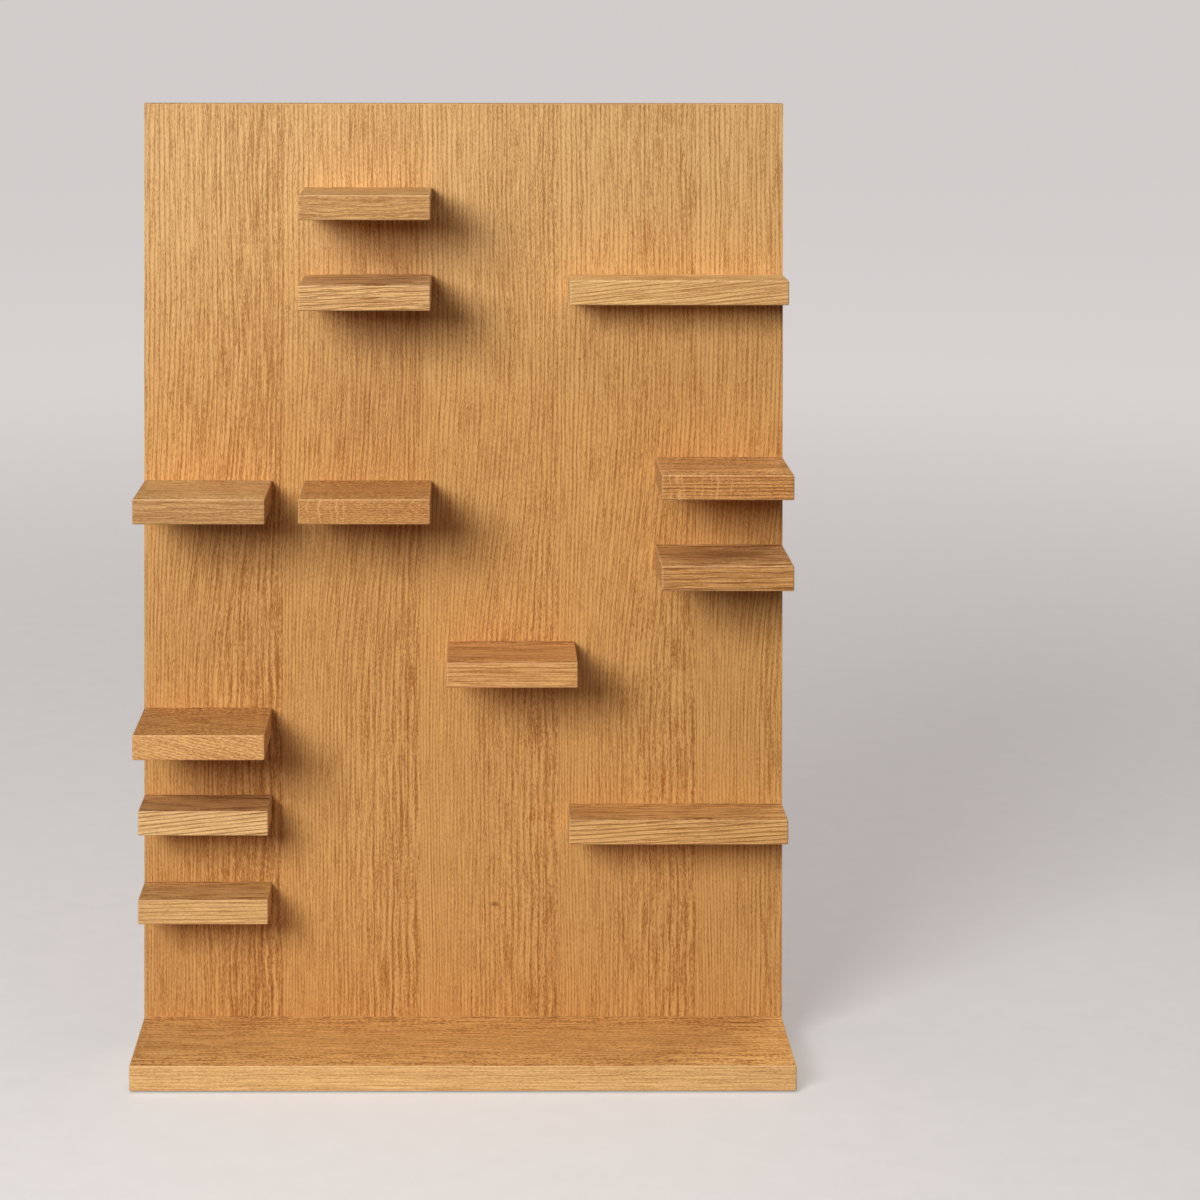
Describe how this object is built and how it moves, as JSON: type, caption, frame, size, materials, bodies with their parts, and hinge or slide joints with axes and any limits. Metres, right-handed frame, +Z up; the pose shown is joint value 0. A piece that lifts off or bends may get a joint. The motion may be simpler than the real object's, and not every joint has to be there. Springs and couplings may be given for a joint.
{
  "type": "pegboard display stand",
  "caption": "Tall oak-veneered panel on a deep base board, with short and long plug-in oak shelves of several depths at staggered heights, for showing small goods.",
  "frame": {"origin": "on the floor, in the middle of the stand's footprint", "axes": "+Z up, +X to the right along the panel's width, +Y towards the wall, so the shelves face -Y"},
  "size_m": [0.68, 0.1692, 1.002],
  "materials": {
    "oak_veneer": "oiled oak veneer, upright grain",
    "oak_edging": "oiled oak edge banding",
    "oak_shelf": "oiled solid oak, grain along the board",
    "oak_base": "oiled solid oak, grain along the board",
    "core_board": "raw fibreboard",
    "beech": "raw turned beech",
    "zinc_steel": "zinc-plated",
    "felt": "brown wool felt"
  },
  "bodies": {
    "stand": {"panel_core": "core_board", "front_veneer": "oak_veneer", "back_veneer": "oak_veneer", "edge_band_left": "oak_edging", "edge_band_right": "oak_edging", "edge_band_top": "oak_edging", "edge_band_bottom": "oak_edging", "base_board": "oak_base", "base_dowels": "beech", "base_screws": "zinc_steel", "floor_pads": "felt", "hanger_plates": "zinc_steel", "hanger_screws": "zinc_steel"},
    "shelf_top": {"shelf_top": "oak_shelf", "shelf_top_pegs": "beech"},
    "shelf_second": {"shelf_second": "oak_shelf", "shelf_second_pegs": "beech"},
    "long_shelf_upper": {"long_shelf_upper": "oak_shelf", "long_shelf_upper_pegs": "beech"},
    "shelf_right_upper": {"shelf_right_upper": "oak_shelf", "shelf_right_upper_pegs": "beech"},
    "shelf_right_lower": {"shelf_right_lower": "oak_shelf", "shelf_right_lower_pegs": "beech"},
    "shelf_left_upper": {"shelf_left_upper": "oak_shelf", "shelf_left_upper_pegs": "beech"},
    "shelf_middle": {"shelf_middle": "oak_shelf", "shelf_middle_pegs": "beech"},
    "shelf_centre": {"shelf_centre": "oak_shelf", "shelf_centre_pegs": "beech"},
    "shelf_left_deep": {"shelf_left_deep": "oak_shelf", "shelf_left_deep_pegs": "beech"},
    "shelf_left_shallow": {"shelf_left_shallow": "oak_shelf", "shelf_left_shallow_pegs": "beech"},
    "shelf_left_bottom": {"shelf_left_bottom": "oak_shelf", "shelf_left_bottom_pegs": "beech"},
    "long_shelf_lower": {"long_shelf_lower": "oak_shelf", "long_shelf_lower_pegs": "beech"}
  },
  "joints": [
    {"name": "shelf_top_unplug", "type": "slide", "parent": "stand", "child": "shelf_top", "axis": [0, -1, 0], "range_m": [0, 0.04]},
    {"name": "shelf_second_unplug", "type": "slide", "parent": "stand", "child": "shelf_second", "axis": [0, -1, 0], "range_m": [0, 0.04]},
    {"name": "long_shelf_upper_unplug", "type": "slide", "parent": "stand", "child": "long_shelf_upper", "axis": [0, -1, 0], "range_m": [0, 0.04]},
    {"name": "shelf_right_upper_unplug", "type": "slide", "parent": "stand", "child": "shelf_right_upper", "axis": [0, -1, 0], "range_m": [0, 0.04]},
    {"name": "shelf_right_lower_unplug", "type": "slide", "parent": "stand", "child": "shelf_right_lower", "axis": [0, -1, 0], "range_m": [0, 0.04]},
    {"name": "shelf_left_upper_unplug", "type": "slide", "parent": "stand", "child": "shelf_left_upper", "axis": [0, -1, 0], "range_m": [0, 0.04]},
    {"name": "shelf_middle_unplug", "type": "slide", "parent": "stand", "child": "shelf_middle", "axis": [0, -1, 0], "range_m": [0, 0.04]},
    {"name": "shelf_centre_unplug", "type": "slide", "parent": "stand", "child": "shelf_centre", "axis": [0, -1, 0], "range_m": [0, 0.04]},
    {"name": "shelf_left_deep_unplug", "type": "slide", "parent": "stand", "child": "shelf_left_deep", "axis": [0, -1, 0], "range_m": [0, 0.04]},
    {"name": "shelf_left_shallow_unplug", "type": "slide", "parent": "stand", "child": "shelf_left_shallow", "axis": [0, -1, 0], "range_m": [0, 0.04]},
    {"name": "shelf_left_bottom_unplug", "type": "slide", "parent": "stand", "child": "shelf_left_bottom", "axis": [0, -1, 0], "range_m": [0, 0.04]},
    {"name": "long_shelf_lower_unplug", "type": "slide", "parent": "stand", "child": "long_shelf_lower", "axis": [0, -1, 0], "range_m": [0, 0.04]}
  ]
}
